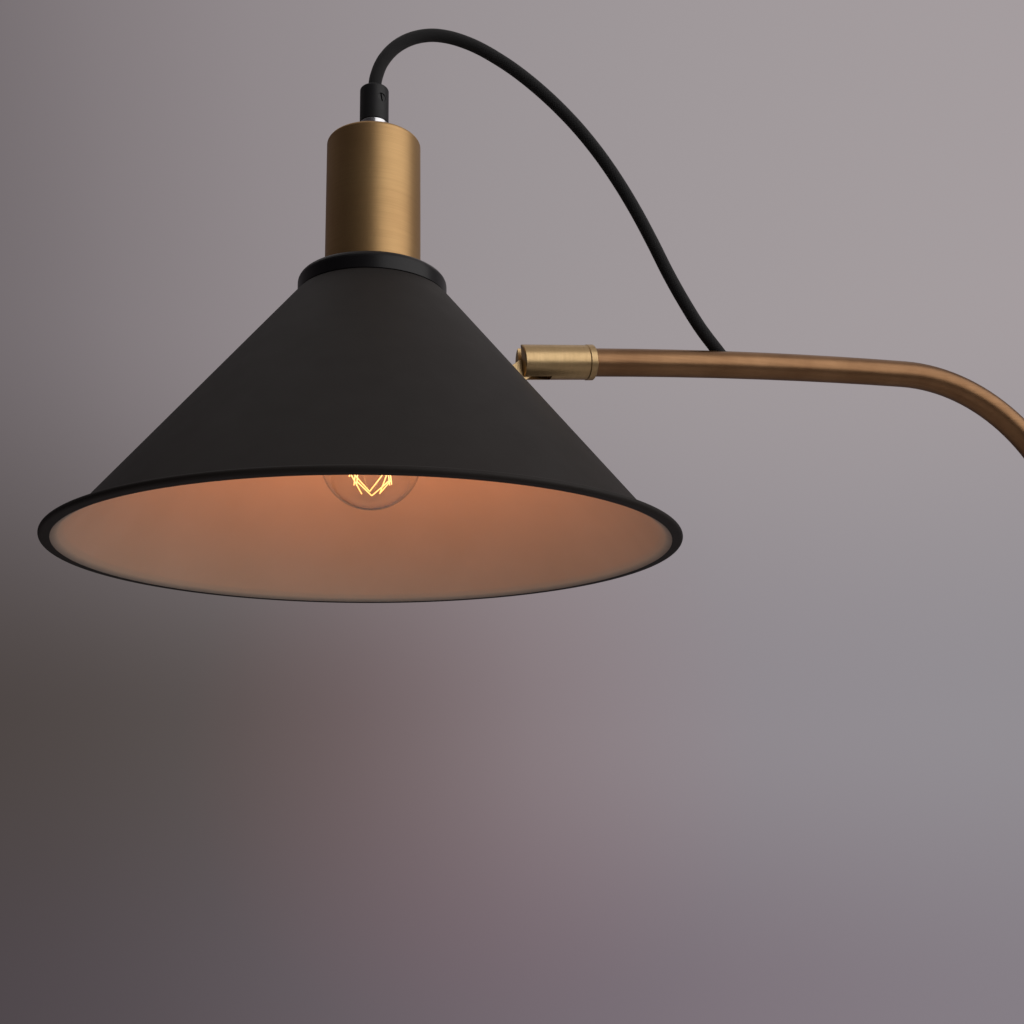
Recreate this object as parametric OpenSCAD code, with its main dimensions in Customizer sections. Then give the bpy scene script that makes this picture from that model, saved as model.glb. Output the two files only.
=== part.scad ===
// Arc floor lamp: a cone shade on a tilting knuckle at the end of a bent brass arm, on a weighted round base.
// Origin: centre of the base's underside. +Z is up, the head hangs towards -X, the arm is in the XZ plane.

/* [Stand] */
// Height of the shade's rim plane above the floor
rim_h = 1250; // [1000:10:1450]
// Outer diameter of the arm and post tubes
tube_d = 16; // [15.5:0.5:17]
// Wall thickness of the tubes
tube_wall = 1.5; // [1.2:0.1:1.8]
// Radius of the arm's long, almost straight arc
arm_arc_r = 3070; // [2600:10:3600]
// Angle that the long arc turns through, in degrees
arm_turn = 3.84; // [3.6:0.01:4.1]
// Slope of the arm where the long arc meets the bend, rising away from the head, in degrees
crest_rise = 1.1; // [0:0.1:2]
// Radius of the bend from the arm into the post
bend_r = 114; // [100:1:125]
// Distance from the post's axis to the shade's axis
reach = 448; // [440:1:460]
// Height of the joint between the two post tubes
lower_joint_h = 640; // [500:10:760]

/* [Base] */
// Outer diameter of the base cover
base_d = 280; // [260:10:320]
// Height of the top of the base cover
base_h = 27; // [26:1:34]
// Outer diameter of the mains-lead gland's nose
gland_d = 13; // [12:0.5:14]

/* [Shade] */
// Diameter over the shade's lip
shade_d = 320; // [312:1:330]
// Height of the cone from the rim plane to its flat top
cone_h = 141.4; // [138:0.1:145]
// Outer radius of the cone where it would meet the rim plane
cone_foot_r = 153.2; // [151:0.1:155]
// Radius of the flat top and of the collar on it
neck_r = 40.2; // [38:0.1:42]
// Sheet thickness of the shade
shade_t = 1; // [0.8:0.1:1.2]

/* [Lamp cup] */
// Outer radius of the brass cup
cup_r = 26; // [25.5:0.1:28]
// Height of the brass cup
cup_h = 82.2; // [82:0.1:90]
// Height of the collar between the shade and the cup
collar_h = 10.5; // [8.5:0.1:11]

/* [Cord] */
// Outer diameter of the textile cord
cord_d = 7.4; // [7:0.1:7.6]

/* [Knuckle] */
// Diameter of the clevis
clevis_d = 19.6; // [19:0.1:20.4]
// Length of the clevis from its open end to the lock ring
clevis_l = 38.5; // [36:0.5:42]
// Width of the slot in the clevis
slot_w = 6; // [5.8:0.1:6.4]

/* [Hidden] */
$fn = 64;
tube_r = tube_d / 2;
bore_r = tube_r - tube_wall;
cord_r = cord_d / 2;
clear = 0.1;
thread_gap = 0.05;
screw_fit = 0.08;

// The arm's centreline: s is the distance from the shade's axis, and heights are above the rim plane.
bend_end_up = 13;
bend_end_z = rim_h + bend_end_up;
crest_s = reach - bend_r * (1 + sin(crest_rise));
crest_up = bend_end_up + bend_r * cos(crest_rise);
arc_s = crest_s + arm_arc_r * sin(crest_rise);
arc_up = crest_up - arm_arc_r * cos(crest_rise);
function arm_z(s) = arc_up + sqrt(arm_arc_r ^ 2 - (arc_s - s) ^ 2);
function arm_slope(s) = asin((arc_s - s) / arm_arc_r);
end_rise = crest_rise + arm_turn;
tube_end_s = arc_s - arm_arc_r * sin(end_rise);

// The cone's outer surface.
cone_slope = (cone_foot_r - neck_r) / cone_h;
cone_lean = atan2(1, cone_slope);
function cone_r(z) = cone_foot_r - cone_slope * z;
wall_dr = shade_t / cos(90 - cone_lean);
lip_t = 3.2;
lip_w = 5.4;
holder_hole_r = 20.6;

// The knuckle, whose axis runs straight on from the arm's end. The clevis reaches clevis_end past the pivot.
clevis_end = 8;
ring_l = 4.5;
ring_start = clevis_l - clevis_end;
tube_start = ring_start + ring_l;
pivot_s = tube_end_s - tube_start * cos(end_rise);
pivot_z = arm_z(tube_end_s) - tube_start * sin(end_rise);
slot_back = 8.5;
eye_r = 7.5;
tongue_t = 4.8;
pin_r = 2.5;
plug_l = 12;
plug_thread_l = 11;
pivot_off = (pivot_s - cone_r(pivot_z)) * sin(cone_lean);
foot_r = 9;
foot_t = 3.5;
stud_r = 3;
pivot_head_r = 5;
pivot_head_sunk = 0.8;
pivot_head_t = 2.5;
plug_thread_r = 5;
tongue_washer_t = 1;
tongue_washer_top = shade_t + 0.3;
tongue_nut_t = 4.5;

// The stack on the shade's axis, as heights above the rim plane.
collar_top = cone_h + collar_h;
cup_top = collar_top + cup_h;
grip_base_top = cup_top + 13.2;
grip_top = grip_base_top + 21.5;
grip_r = 8.1;
grip_screw_z = grip_top - 8.5;
grip_screw_turn = -68;
grip_screw_r = 2.5;
nipple_r = 4.95;
nipple_bore_r = cord_r + 2 * clear;
cup_wall = 1;

// The bulb, as heights above the rim plane.
bulb_r = 26.7;
bulb_z = 50.5;
glass_t = 0.8;
bulb_neck_r = 12.4;
bulb_neck_z = 129;
stem_low = 92;
stem_r = 3;
flare_h = 8;
filament_low = 34;
filament_legs = 8;
cap_r = 13;
cap_top = 153;
insulator_t = 5;
tip_top = 160;

// The lamp holder, as heights above the rim plane.
holder_r = 19.9;
holder_mouth = 131;
holder_top = 166;
cap_hub_top = 190;
contact_t = 0.6;
insert_low = tip_top + contact_t;
insert_r = 15.8;
insert_h = 8.8;
core_off = 2.2;
core_r = 1.1;
sheath_low = 178;

// The base.
base_r = base_d / 2;
pad_t = 2;
cover_t = 1.5;
weight_r = base_r - cover_t - 3;
weight_low = 5;
weight_top = base_h - cover_t - 0.5;
recess_top = 19;
recess_r = 26;
channel_z = pad_t + cord_r + 0.8;
channel_w = 12;
stud_low = 14;
stud_out_r = 6;
stud_bore_r = cord_r + 0.4;
stud_washer_t = 1.5;
stud_spigot_l = 18;
elbow_r = 9.5;
boss_h = 16;
boss_r = 15;
post_low = base_h + 4;
coupler_l = 14;
seam = 1.5;
gland_z = weight_low + 9;
gland_in = 14;
base_screw_pcr = 95;
base_screw_r = 2;
base_screw_top = weight_low + 14;

// Where the cord goes into the arm: the middle of the hole's mouth, the way in, and the free cord's depth.
hole_s = 206;
hole_dir = -51;
hole_deep = 4;
hole_z = arm_z(hole_s) + tube_r / cos(arm_slope(hole_s));
cord_sides = 12;
cord_end = [hole_s + hole_deep * cos(hole_dir), hole_z + hole_deep * sin(hole_dir)];

// The free cord's route in the arm's plane: distance from the shade's axis, and height above the rim plane.
cord_route = concat(
    [[0, grip_top], [0.8, 276.5], [3.8, 286.3], [9, 295], [15.5, 301.8], [23.5, 307], [33, 310.3], [43, 311],
     [53, 309.6], [63, 306.6], [74, 301.6], [85.2, 295.3], [98, 286.3], [111, 275.4], [124, 262.4],
     [136.5, 247.2], [148, 230.4], [158.3, 212.8], [167.5, 194.8], [176, 177], [185, 160.4], [195, 144.2]],
    [[hole_s, hole_z], cord_end]);

brass_colour = "#8f6b3f";
bright_brass = "#b8925a";
black_paint = "#262421";
black_plastic = "#1b1a1c";
bakelite = "#2a2522";
sheath_colour = "#26201c";
steel_colour = "#b9bcc0";

// Places its children in the head's own frame, with its origin at the middle of the rim plane.
module at_head() translate([-reach, 0, rim_h]) children();

// Places its children at the pivot, with +X along the arm.
module at_pivot() at_head() translate([pivot_s, 0, pivot_z]) rotate([0, -end_rise, 0]) children();

// Places its children at the pivot, with +Z square to the cone's outer surface.
module at_tongue() at_head() translate([pivot_s, 0, pivot_z]) rotate([0, cone_lean, 0]) children();

// A cylinder between two distances along X.
module bar(r, x0, x1) translate([x0, 0, 0]) rotate([0, 90, 0]) cylinder(r = r, h = x1 - x0);

// A cylinder across the arm's plane, from y0 to y1.
module cross_bar(r, y0, y1) translate([0, y0, 0]) rotate([-90, 0, 0]) cylinder(r = r, h = y1 - y0);

// A ring on the Z axis.
module ring(r_out, r_in, z0, z1) {
    difference() {
        translate([0, 0, z0]) cylinder(r = r_out, h = z1 - z0);
        translate([0, 0, z0 - 1]) cylinder(r = r_in, h = z1 - z0 + 2);
    }
}

// A hexagonal nut on the Z axis, af across its flats.
module hex_nut(af, r_in, z0, z1) {
    difference() {
        translate([0, 0, z0]) cylinder(r = af / sqrt(3), h = z1 - z0, $fn = 6);
        translate([0, 0, z0 - 1]) cylinder(r = r_in, h = z1 - z0 + 2);
    }
}

// Points on an arc about (x, z), from angle a to angle b in n steps.
function arc(x, z, r, a, b, n = 6) =
    [for (i = [0:n]) let (t = a + (b - a) * i / n) [x + r * cos(t), z + r * sin(t)]];

// Places its children at the crest, where the arm's two arcs meet, with +X along the arm.
module at_crest() at_head() translate([crest_s, 0, crest_up]) rotate([0, -crest_rise, 0]) children();

// An arc of the arm from the crest: r_arc is its radius, and turn its angle, positive towards the head.
module arm_arc(r, r_in, r_arc, turn) {
    translate([0, 0, -r_arc]) rotate([90, 0, 0]) rotate([0, 0, 90]) rotate_extrude(angle = turn)
        translate([r_arc, 0]) difference() {
            circle(r = r);
            if (r_in > 0) circle(r = r_in);
        }
}

// The arm from distance s0 on its long arc to the end of its bend; solid if r_in is 0.
module arm_run(r, r_in, s0) {
    at_crest() {
        arm_arc(r, r_in, arm_arc_r, arm_slope(s0) - crest_rise);
        arm_arc(r, r_in, bend_r, -90 - crest_rise);
    }
}

module shade() {
    edge_r = lip_t / 2;
    edge = shade_d / 2 - edge_r;
    under_z = lip_t - shade_t;
    color(black_paint) at_head() difference() {
        rotate_extrude($fn = 128) polygon(concat(
            [[holder_hole_r, cone_h - shade_t], [holder_hole_r, cone_h], [neck_r, cone_h]],
            [[cone_r(lip_t), lip_t]],
            arc(edge, edge_r, edge_r, 90, -90),
            [[shade_d / 2 - lip_w, 0], [cone_r(under_z) - wall_dr, under_z]],
            [[cone_r(cone_h - shade_t) - wall_dr, cone_h - shade_t]]));
        translate([pivot_s, 0, pivot_z]) rotate([0, cone_lean, 0])
            translate([0, 0, -pivot_off - 5]) cylinder(r = stud_r + 0.2, h = 10);
    }
}

module shade_collar() {
    round_r = 4;
    skin = 1.5;
    top_t = 2;
    hub_r = 24;
    skin_r = neck_r - skin;
    color(black_paint) at_head() rotate_extrude($fn = 96) polygon(concat(
        [[holder_hole_r, cone_h], [hub_r, cone_h], [hub_r, collar_top - top_t]],
        [[neck_r - round_r, collar_top - top_t], [skin_r, collar_top - round_r], [skin_r, cone_h]],
        [[neck_r, cone_h]],
        arc(neck_r - round_r, collar_top - round_r, round_r, 0, 90),
        [[holder_hole_r, collar_top]]));
}

module lamp_cup() {
    round_r = 1.8;
    inner = round_r - cup_wall;
    color(brass_colour) at_head() rotate_extrude($fn = 96) polygon(concat(
        [[cup_r - cup_wall, collar_top], [cup_r, collar_top]],
        arc(cup_r - round_r, cup_top - round_r, round_r, 0, 90),
        [[nipple_r + clear, cup_top], [nipple_r + clear, cup_top - cup_wall]],
        arc(cup_r - round_r, cup_top - round_r, inner, 90, 0)));
}

module grip_base() {
    edge = 0.6;
    r = grip_r - 0.1;
    color(steel_colour) at_head() rotate_extrude() polygon([
        [nipple_r + thread_gap, cup_top], [r - edge, cup_top], [r, cup_top + edge],
        [r, grip_base_top - edge], [r - edge, grip_base_top], [nipple_r + thread_gap, grip_base_top]]);
}

// Places its children on the grip screw's axis, which points outwards along +X.
module at_grip_screw() at_head() translate([0, 0, grip_screw_z]) rotate([0, 0, grip_screw_turn]) children();

module cord_grip() {
    round_r = 1.2;
    thread_top = grip_base_top + 4;
    color(black_plastic) difference() {
        at_head() rotate_extrude() polygon(concat(
            [[nipple_r + thread_gap, grip_base_top], [grip_r, grip_base_top]],
            arc(grip_r - round_r, grip_top - round_r, round_r, 0, 90),
            [[cord_r + clear, grip_top], [cord_r + clear, thread_top], [nipple_r + thread_gap, thread_top]]));
        at_grip_screw() bar(grip_screw_r, cord_r, grip_r + 2);
    }
}

module grip_screw() {
    slot_deep = 1.2;
    slot = 0.8;
    slot_turn = 12;
    face = grip_r - 0.5;
    color(black_plastic) at_grip_screw() difference() {
        bar(grip_screw_r - thread_gap, cord_r + 0.15, face);
        rotate([slot_turn, 0, 0]) translate([face - slot_deep, -slot / 2, -5]) cube([5, slot, 10]);
    }
}

module nipple() {
    thread_l = 10;
    grip_l = 3.9;
    low = cap_hub_top - thread_l;
    color(steel_colour) at_head() ring(nipple_r, nipple_bore_r, low, grip_base_top + grip_l);
}

module lamp_holder() {
    flange_r = 24;
    flange_t = 2.5;
    cap_bore_r = cap_r + 0.5;
    color(bakelite) at_head() difference() {
        union() {
            translate([0, 0, holder_mouth]) cylinder(r = holder_r, h = holder_top - holder_mouth);
            translate([0, 0, collar_top]) cylinder(r = flange_r, h = flange_t);
        }
        translate([0, 0, holder_mouth - 1]) cylinder(r = cap_bore_r, h = insert_low - holder_mouth + 1);
        translate([0, 0, tip_top]) cylinder(r = insert_r + 2 * clear, h = insert_h + 1);
    }
}

module holder_cap() {
    wall = 2;
    shoulder_z = 180;
    slant = 6;
    hub_r = 8;
    seat_h = 4;
    color(bakelite) at_head() difference() {
        rotate_extrude() polygon([
            [0, holder_top], [holder_r, holder_top], [holder_r, shoulder_z - slant],
            [holder_r - slant, shoulder_z], [hub_r, shoulder_z], [hub_r, cap_hub_top], [0, cap_hub_top]]);
        translate([0, 0, holder_top - 1]) cylinder(r = insert_r + clear, h = seat_h + 1);
        translate([0, 0, holder_top]) cylinder(r = holder_r - slant, h = shoulder_z - wall - holder_top);
        translate([0, 0, holder_top]) cylinder(r = nipple_r + thread_gap, h = cap_hub_top);
    }
}

module holder_insert() {
    color("#e4ded2") at_head() difference() {
        translate([0, 0, insert_low]) cylinder(r = insert_r, h = insert_h);
        for (side = [-1, 1]) translate([side * core_off, 0, tip_top])
            cylinder(r = core_r + clear, h = insert_h + 2);
    }
}

// The centre leaf that the bulb's tip presses, and the side leaf down the cap.
module holder_contacts() {
    centre_l = 14;
    centre_w = 5;
    side_l = 18;
    side_w = 3;
    side_t = 0.3;
    color(bright_brass) at_head() {
        translate([-centre_l / 2, -centre_w / 2, tip_top]) cube([centre_l, centre_w, contact_t]);
        translate([cap_r + 0.03, -side_w / 2, tip_top - side_l]) cube([side_t, side_w, side_l + contact_t]);
    }
}

module shade_ring() {
    ring_r = 27;
    skirt = 5.7;
    flutes = 12;
    flute_r = 1.6;
    low = cone_h - shade_t - skirt;
    color(bakelite) at_head() difference() {
        ring(ring_r, holder_r + thread_gap, low, low + skirt);
        for (i = [0:flutes - 1]) rotate([0, 0, i * 360 / flutes]) translate([ring_r + 0.6, 0, low - 1])
            cylinder(r = flute_r, h = skirt + 2, $fn = 16);
    }
}

module holder_lead() {
    core_low = insert_low + 0.4;
    color(sheath_colour) at_head() {
        translate([0, 0, sheath_low]) cylinder(r = cord_r, h = grip_top - sheath_low);
        for (side = [-1, 1]) translate([side * core_off, 0, core_low])
            cylinder(r = core_r, h = sheath_low - core_low);
    }
}

// The bulb's outline: a round end, then a straight taper to the neck.
function bulb_outline(t) =
    let (dx = bulb_neck_r, dz = bulb_neck_z - bulb_z, touch = atan2(dz, dx) - acos(bulb_r / norm([dx, dz])))
    concat(arc(0, bulb_z, bulb_r - t, -90, touch, 16), [[bulb_neck_r - t, bulb_neck_z]]);

module bulb_glass() {
    above = bulb_neck_z + 1;
    color([0.9, 0.9, 0.85, 0.35]) at_head() difference() {
        rotate_extrude($fn = 96) polygon(concat(bulb_outline(0), [[0, bulb_neck_z]]));
        rotate_extrude($fn = 96) polygon(concat(
            bulb_outline(glass_t), [[bulb_neck_r - glass_t, above], [0, above]]));
    }
}

module bulb_stem() {
    flare_r = bulb_neck_r - glass_t - 0.2;
    flare_low = bulb_neck_z - flare_h;
    color([0.85, 0.88, 0.85, 0.5]) at_head() {
        translate([0, 0, stem_low]) cylinder(r = stem_r, h = flare_low - stem_low);
        translate([0, 0, flare_low]) cylinder(r1 = stem_r, r2 = flare_r, h = flare_h, $fn = 48);
    }
}

// A squirrel-cage filament: legs between an upper and a lower support ring.
module bulb_filament() {
    leg_r = 0.45;
    ring_wire_r = leg_r + 0.15;
    hub_r = 0.8;
    low_r = 9.5;
    high_r = 6;
    high_z = stem_low - 2;
    leg_len = norm([low_r - high_r, high_z - filament_low]);
    leg_lean = atan2(low_r - high_r, high_z - filament_low);
    color("#ffb347") at_head() {
        for (i = [0:filament_legs - 1]) rotate([0, 0, i * 360 / filament_legs])
            translate([low_r, 0, filament_low]) rotate([0, -leg_lean, 0])
                cylinder(r = leg_r, h = leg_len, $fn = 16);
        for (at = [[low_r, filament_low], [high_r, high_z]]) translate([0, 0, at[1]])
            rotate_extrude() translate([at[0], 0]) circle(r = ring_wire_r, $fn = 16);
        translate([0, 0, high_z]) cylinder(r = hub_r, h = stem_low - high_z);
        translate([-high_r, 0, high_z]) rotate([0, 90, 0]) cylinder(r = leg_r, h = 2 * high_r, $fn = 16);
    }
}

module bulb_cap() {
    skirt_r = cap_r - 0.3;
    shell = 0.7;
    pitch = 3.6;
    first_ridge = bulb_neck_z + 5;
    ridge_r = 0.7;
    color(bright_brass) at_head() difference() {
        union() {
            translate([0, 0, bulb_neck_z]) cylinder(r = skirt_r, h = cap_top - bulb_neck_z);
            for (i = [0:4]) translate([0, 0, first_ridge + i * pitch])
                rotate_extrude() translate([cap_r - ridge_r, 0]) circle(r = ridge_r, $fn = 16);
        }
        translate([0, 0, bulb_neck_z - 1]) cylinder(r = skirt_r - shell, h = cap_top - bulb_neck_z);
    }
}

module bulb_insulator() {
    edge_r = cap_r - 1.5;
    top_r = 5.5;
    color(black_plastic) at_head() translate([0, 0, cap_top])
        cylinder(r1 = edge_r, r2 = top_r, h = insulator_t, $fn = 48);
}

module bulb_tip() {
    low = cap_top + insulator_t;
    color("#a9abad") at_head() translate([0, 0, low]) cylinder(r = 4.8, h = tip_top - low);
}

// The outer cone as a solid, for the foot that sits on it.
module cone_solid() at_head() cylinder(r1 = cone_foot_r + 0.03, r2 = neck_r + 0.03, h = cone_h, $fn = 128);

module knuckle_tongue() {
    stud_in = 9;
    neck_w = 11;
    color(bright_brass) difference() {
        at_tongue() difference() {
            union() {
                cross_bar(eye_r, -tongue_t / 2, tongue_t / 2);
                translate([-neck_w / 2, -tongue_t / 2, 1 - pivot_off])
                    cube([neck_w, tongue_t, pivot_off - 1]);
                translate([0, 0, -pivot_off - 1]) cylinder(r = foot_r, h = foot_t + 1);
            }
            cross_bar(pin_r + 0.05, -10, 10);
        }
        cone_solid();
    }
    color(bright_brass) at_tongue() translate([0, 0, -pivot_off - stud_in])
        cylinder(r = stud_r, h = stud_in + 1);
}

module tongue_washer() {
    top = -pivot_off - tongue_washer_top;
    color(steel_colour) at_tongue() ring(6.5, stud_r + clear, top - tongue_washer_t, top);
}

module tongue_nut() {
    top = -pivot_off - tongue_washer_top - tongue_washer_t;
    color(steel_colour) at_tongue() hex_nut(10, stud_r + thread_gap, top - tongue_nut_t, top);
}

module knuckle_clevis() {
    r = clevis_d / 2;
    edge = 0.5;
    skin = 3;
    head_seat = r - pivot_head_sunk - pivot_head_t - clear;
    slot_l = clevis_end + slot_back;
    color(bright_brass) at_pivot() difference() {
        rotate([0, 90, 0]) rotate_extrude() polygon([
            [0, -clevis_end], [r - edge, -clevis_end], [r, edge - clevis_end],
            [r, ring_start], [0, ring_start]]);
        translate([-clevis_end - 1, -slot_w / 2, -r - 1]) cube([slot_l + 1, slot_w, 2 * r + 2]);
        cross_bar(pin_r, skin - r, r + 1);
        cross_bar(pivot_head_r + clear, head_seat, r + 1);
        bar(plug_thread_r, ring_start - plug_thread_l - 1, ring_start + 1);
    }
}

module friction_washers() {
    thick = 0.5;
    washer_r = 7;
    color("#3a3a3c") at_pivot() for (side = [-1, 1]) {
        y = side * (slot_w - thick) / 2;
        difference() {
            cross_bar(washer_r, y - thick / 2, y + thick / 2);
            cross_bar(pin_r + clear, y - thick, y + thick);
        }
    }
}

module pivot_screw() {
    r = clevis_d / 2;
    head_top = r - pivot_head_sunk;
    head_low = head_top - pivot_head_t;
    tip = 3.2 - r;
    slot = 1;
    slot_deep = 1.2;
    color(bright_brass) at_pivot() difference() {
        union() {
            cross_bar(pin_r - screw_fit / 2, tip, head_low);
            cross_bar(pivot_head_r, head_low, head_top);
        }
        translate([-slot / 2, head_top - slot_deep, -pivot_head_r - 1])
            cube([slot, slot_deep + 1, 2 * pivot_head_r + 2]);
    }
}

module clevis_ring() {
    r = clevis_d / 2 + 0.3;
    edge = 0.5;
    back = ring_l - 0.02;
    bore = plug_thread_r + thread_gap;
    outline = [[bore, 0], [r - edge, 0], [r, edge], [r, back - edge], [r - edge, back], [bore, back]];
    color(bright_brass) at_pivot() translate([ring_start, 0, 0]) rotate([0, 90, 0])
        rotate_extrude() polygon(outline);
}

module tube_plug() {
    color(bright_brass) at_pivot() {
        bar(plug_thread_r - thread_gap, ring_start - plug_thread_l, tube_start);
        bar(bore_r - clear, tube_start, tube_start + plug_l);
    }
}

// A cylinder along the cord's way into the arm, from d0 before the hole's mouth to d1 past it.
module way_in(r, d0, d1) {
    at_head() translate([hole_s, 0, hole_z]) rotate([0, -hole_dir, 0]) bar(r, -d0, d1);
}

module arm_tube() {
    color(brass_colour) difference() {
        arm_run(tube_r, bore_r, tube_end_s);
        way_in(cord_r + 1.2, 8, 8);
    }
}

// A thin bush that lines the hole; the arm is taken as straight over its length.
module cable_bush() {
    span = 40;
    lip_in = 1;
    color(black_plastic) difference() {
        intersection() {
            way_in(cord_r + 1.1, 12, 12);
            at_head() translate([hole_s, 0, arm_z(hole_s)]) rotate([0, -arm_slope(hole_s), 0]) difference() {
                bar(tube_r, -span / 2, span / 2);
                bar(bore_r - lip_in, -span, span);
            }
        }
        way_in(cord_r + clear, 20, 20);
        at_head() translate([hole_s - span, -span / 2, arm_z(hole_s) - span]) cube([2 * span, span, span]);
    }
}

// Unit tangent of the cord's route at point i, and the ring of points round it.
function unit(v) = v / norm(v);
function route_dir(i) = i == 0 ? [0, 1] : i >= len(cord_route) - 2 ? [cos(hole_dir), sin(hole_dir)] :
    unit(cord_route[i + 1] - cord_route[i - 1]);
function cord_ring(i) = let (p = cord_route[i], d = route_dir(i))
    [for (k = [0:cord_sides - 1]) let (a = 360 * k / cord_sides, u = cord_r * cos(a))
        [p[0] - d[1] * u, cord_r * sin(a), p[1] + d[0] * u]];

module shade_cord() {
    rings = len(cord_route);
    points = [for (i = [0:rings - 1]) each cord_ring(i)];
    sides = [for (i = [0:rings - 2], k = [0:cord_sides - 1])
        let (a = i * cord_sides + k, b = i * cord_sides + (k + 1) % cord_sides)
        [a, b, b + cord_sides, a + cord_sides]];
    ends = [[for (k = [cord_sides - 1:-1:0]) k], [for (k = [0:cord_sides - 1]) (rings - 1) * cord_sides + k]];
    color("#1a191b") at_head() polyhedron(points = points, faces = concat(sides, ends), convexity = 6);
}

module arm_cable() {
    stub = tube_r / sin(-hole_dir);
    elbow_s = hole_s + stub * cos(hole_dir);
    color(sheath_colour) {
        way_in(cord_r, -hole_deep, stub);
        arm_run(cord_r, 0, elbow_s - cord_r);
    }
}

module post_cable() {
    low = channel_z + elbow_r;
    color(sheath_colour) {
        translate([0, 0, low]) cylinder(r = cord_r, h = bend_end_z - low);
        translate([elbow_r, 0, low]) rotate([90, 0, 0]) rotate([0, 0, 180])
            rotate_extrude(angle = 90) translate([elbow_r, 0]) circle(r = cord_r);
        translate([0, 0, channel_z]) bar(cord_r, elbow_r, base_r - gland_in);
    }
}

// A hollow coupler that joins two tubes end to end: a rim between them just below height z, and two spigots.
module coupler(z, up_r, up_l) {
    color(bright_brass) difference() {
        union() {
            translate([0, 0, z - seam - coupler_l]) cylinder(r = bore_r - thread_gap, h = coupler_l + seam);
            translate([0, 0, z - seam]) cylinder(r = tube_r, h = seam);
            translate([0, 0, z - seam]) cylinder(r = up_r, h = up_l + seam);
        }
        translate([0, 0, z - 2 * coupler_l]) cylinder(r = cord_r + 0.5, h = 4 * coupler_l);
    }
}

module upper_coupler() coupler(bend_end_z, bore_r - 0.8, 8);
module lower_coupler() coupler(lower_joint_h, bore_r - thread_gap, coupler_l);
module upper_post() color(brass_colour) ring(tube_r, bore_r, lower_joint_h, bend_end_z - seam);
module lower_post() color(brass_colour) ring(tube_r, bore_r, post_low, lower_joint_h - seam);

module post_boss() {
    edge = 1.5;
    stud_hole_r = stud_out_r + clear;
    post_hole_r = tube_r + clear;
    top = base_h + boss_h;
    color(brass_colour) rotate_extrude() polygon([
        [post_hole_r, post_low], [stud_hole_r, post_low], [stud_hole_r, base_h], [boss_r, base_h],
        [boss_r, top - edge], [boss_r - edge, top], [post_hole_r, top]]);
}

module post_stud() {
    color(steel_colour) difference() {
        union() {
            translate([0, 0, stud_low]) cylinder(r = stud_out_r, h = post_low + stud_spigot_l - stud_low);
            translate([0, 0, post_low]) cylinder(r = bore_r - thread_gap, h = stud_spigot_l);
        }
        cylinder(r = stud_bore_r, h = post_low + 2 * stud_spigot_l);
    }
}

module stud_washer() {
    washer_r = 15;
    color(steel_colour) ring(washer_r, stud_out_r + 2 * clear, recess_top - stud_washer_t, recess_top);
}

module stud_nut() {
    low = stud_low + 0.5;
    color(steel_colour) hex_nut(17, stud_out_r + thread_gap, low, recess_top - stud_washer_t);
}

module base_cover() {
    round_r = 5;
    low = weight_low - 2;
    color(black_paint) difference() {
        rotate_extrude($fn = 128) polygon(concat(
            [[base_r - cover_t, low], [base_r, low]],
            arc(base_r - round_r, base_h - round_r, round_r, 0, 90),
            [[stud_out_r + clear, base_h], [stud_out_r + clear, base_h - cover_t]],
            arc(base_r - round_r, base_h - round_r, round_r - cover_t, 90, 0)));
        translate([0, 0, gland_z]) bar(gland_d / 2 + clear, base_r - 10, base_r + 10);
    }
}

// Places its children at each of the three screws that hold the weight in the cover.
module at_base_screws() for (i = [0:2]) rotate([0, 0, 60 + i * 120])
    translate([base_screw_pcr, 0, 0]) children();

// A cast disc with room for the stud's nut, the cable's channel, the gland and the screws.
module base_weight() {
    gland_room = 20;
    gland_room_w = 28;
    channel_top = channel_z + cord_r + 1.5;
    color("#3b3b3d") difference() {
        translate([0, 0, weight_low]) cylinder(r = weight_r, h = weight_top - weight_low, $fn = 128);
        cylinder(r = stud_out_r + 0.5, h = 2 * base_h);
        cylinder(r = recess_r, h = recess_top);
        translate([0, -channel_w / 2, 0]) cube([base_r, channel_w, channel_top]);
        translate([base_r - gland_room, -gland_room_w / 2, 0])
            cube([2 * gland_room, gland_room_w, gland_z + gland_room / 2 + 1]);
        at_base_screws() cylinder(r = base_screw_r + 2 * clear, h = 2 * base_h);
    }
}

module base_screws() {
    head_low = pad_t + 0.6;
    color(steel_colour) at_base_screws() {
        translate([0, 0, head_low]) cylinder(r = 2 * base_screw_r, h = weight_low - head_low);
        translate([0, 0, weight_low]) cylinder(r = base_screw_r, h = base_screw_top - weight_low);
    }
}

module base_pad() color("#2d2b2b") cylinder(r = base_r - 4, h = pad_t, $fn = 128);

module cable_gland() {
    inner = base_r - gland_in;
    nose = 9;
    nose_r = gland_d / 2 - 1;
    flange_r = gland_d / 2 + 1.8;
    flange_t = 2.5;
    color(black_plastic) translate([0, 0, gland_z]) difference() {
        union() {
            bar(gland_d / 2, inner, base_r + 1);
            bar(flange_r, base_r, base_r + flange_t);
            bar(nose_r, base_r, base_r + nose);
        }
        bar(cord_r + 0.2, inner - 1, base_r + nose + 1);
    }
}

module gland_nut() {
    nut_t = 4.5;
    gap = 1.5;
    color(black_plastic) translate([base_r - cover_t - gap - nut_t, 0, gland_z]) rotate([0, 90, 0])
        hex_nut(18, gland_d / 2 + thread_gap, 0, nut_t);
}

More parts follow.
